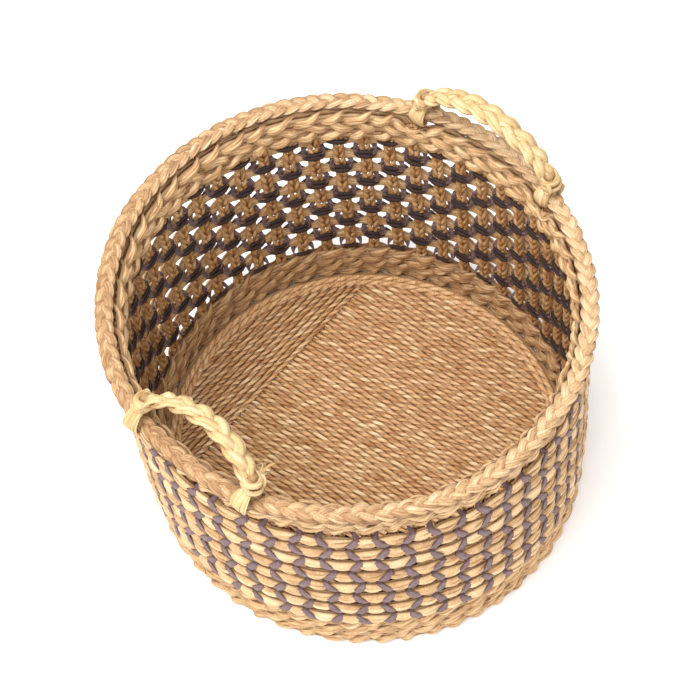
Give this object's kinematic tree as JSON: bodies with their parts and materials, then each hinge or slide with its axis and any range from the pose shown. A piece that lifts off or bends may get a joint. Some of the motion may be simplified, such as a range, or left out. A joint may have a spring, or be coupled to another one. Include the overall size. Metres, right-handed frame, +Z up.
{
  "type": "storage basket",
  "caption": "Round storage basket of woven seagrass with a twined wall, an openwork middle laced with ribbons, a plaited rim and two swinging plaited handles.",
  "frame": {"origin": "middle of the base mat's underside, on the surface the basket stands on", "axes": "+Z up; +X from the left handle towards the right handle; +Y towards the seam in the base mat"},
  "size_m": [0.4191, 0.422, 0.3252],
  "materials": {
    "straw": "dry flat straw leaves, matt with a faint sheen along the fibre",
    "ribbon": "dyed flat leaf, dusty purple grey, matt",
    "upright_cords": "twisted seagrass cord, orange brown, matt",
    "rim_plait": "plaited pale straw, matt",
    "handle_plait": "plaited yellow cream leaf, satin along the fibre",
    "base_mat": "fine twisted seagrass, tan brown, matt"
  },
  "bodies": {
    "basket": {"base_mat_rows": "base_mat", "base_side_rows": "base_mat", "base_round_inner": "base_mat", "base_round_outer": "base_mat", "stake_cords_left": "upright_cords", "stake_cords_right": "upright_cords", "bottom_row_1_inner_strand": "straw", "bottom_row_1_outer_strand": "straw", "bottom_row_2_inner_strand": "straw", "bottom_row_2_outer_strand": "straw", "bottom_row_3_inner_strand": "straw", "bottom_row_3_outer_strand": "straw", "bottom_row_4_inner_strand": "straw", "bottom_row_4_outer_strand": "straw", "straw_row_1": "straw", "straw_row_2": "straw", "straw_row_3": "straw", "straw_row_4": "straw", "straw_row_5": "straw", "straw_row_6": "straw", "straw_row_7": "straw", "straw_row_8": "straw", "lacing_ribbon_1": "ribbon", "lacing_ribbon_2": "ribbon", "lacing_ribbon_3": "ribbon", "lacing_ribbon_4": "ribbon", "lacing_ribbon_5": "ribbon", "lacing_ribbon_6": "ribbon", "lacing_ribbon_7": "ribbon", "lacing_ribbon_8": "ribbon", "top_row_1_inner_strand": "straw", "top_row_1_outer_strand": "straw", "top_row_2_inner_strand": "straw", "top_row_2_outer_strand": "straw", "top_row_3_inner_strand": "straw", "top_row_3_outer_strand": "straw", "rim_plait_top_strand": "rim_plait", "rim_plait_inner_strand": "rim_plait", "rim_plait_outer_strand": "rim_plait"},
    "right_handle": {"right_handle_upper_strand": "handle_plait", "right_handle_inner_strand": "handle_plait", "right_handle_outer_strand": "handle_plait", "right_handle_knot_1": "handle_plait", "right_handle_knot_2": "handle_plait", "right_handle_inner_tails": "handle_plait", "right_handle_outer_tails": "handle_plait"},
    "left_handle": {"left_handle_upper_strand": "handle_plait", "left_handle_inner_strand": "handle_plait", "left_handle_outer_strand": "handle_plait", "left_handle_knot_1": "handle_plait", "left_handle_knot_2": "handle_plait", "left_handle_inner_tails": "handle_plait", "left_handle_outer_tails": "handle_plait", "left_handle_frayed_end": "handle_plait"}
  },
  "joints": [
    {"name": "right_handle_swing", "type": "hinge", "parent": "basket", "child": "right_handle", "pos_m": [0.17691, 0.0144, 0.262], "axis": [0, 1, 0], "range_deg": [-60, 75]},
    {"name": "left_handle_swing", "type": "hinge", "parent": "basket", "child": "left_handle", "pos_m": [-0.20326, 0.0144, 0.262], "axis": [0, -1, 0], "range_deg": [-30, 97]}
  ]
}
